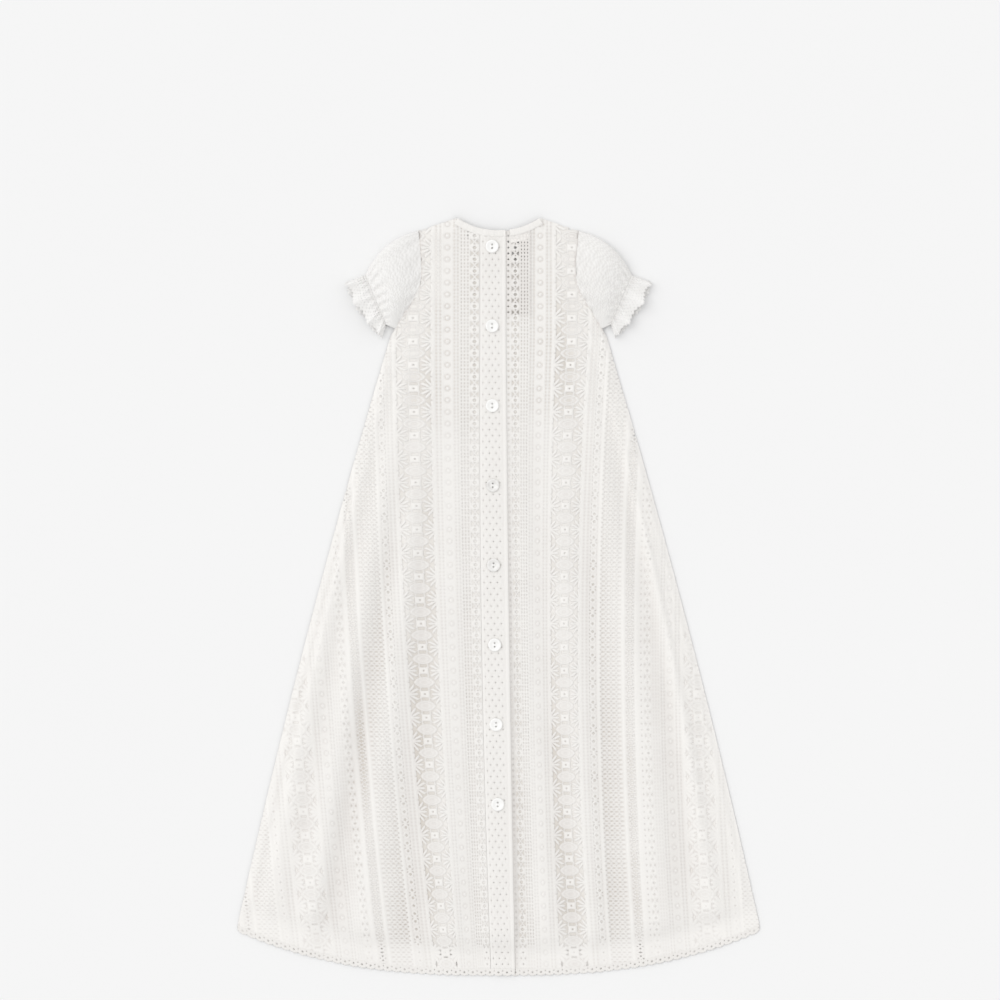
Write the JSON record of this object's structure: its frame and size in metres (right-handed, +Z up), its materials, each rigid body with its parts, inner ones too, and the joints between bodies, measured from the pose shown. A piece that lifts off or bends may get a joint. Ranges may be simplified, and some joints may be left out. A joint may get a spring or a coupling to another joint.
{
  "type": "christening gown",
  "caption": "Baby's long A-line lace gown with short puff sleeves, lined, buttoned down the back, laid flat back up",
  "frame": {"origin": "under the middle of the gown, on the surface that it lies on", "axes": "+X across the gown to its viewer's right, +Y from hem to neck, +Z up out of the surface"},
  "size_m": [0.6, 0.8726, 0.0242],
  "materials": {
    "lace": "matt ivory cotton lace in stripes",
    "lining": "plain ivory cotton lawn, soft sheen",
    "trim": "narrow ivory cotton binding and edging",
    "button": "pearly white, polished"
  },
  "bodies": {
    "root": {"front_panel": "lace", "back_panel_left": "lace", "back_panel_right": "lace", "button_placket": "lace", "sleeve_left": "lace", "sleeve_right": "lace", "cuff_frill_left": "lace", "cuff_frill_right": "lace", "front_lining": "lining", "back_lining": "lining", "lining_neck_band_left": "lining", "lining_neck_band_right": "lining", "neck_binding_left": "trim", "neck_binding_right": "trim", "neck_binding_front": "trim", "hem_edging_left": "trim", "hem_edging_right": "trim", "hem_edging_front": "trim", "button_1": "button", "button_2": "button", "button_3": "button", "button_4": "button", "button_5": "button", "button_6": "button", "button_7": "button", "button_8": "button"}
  },
  "joints": []
}
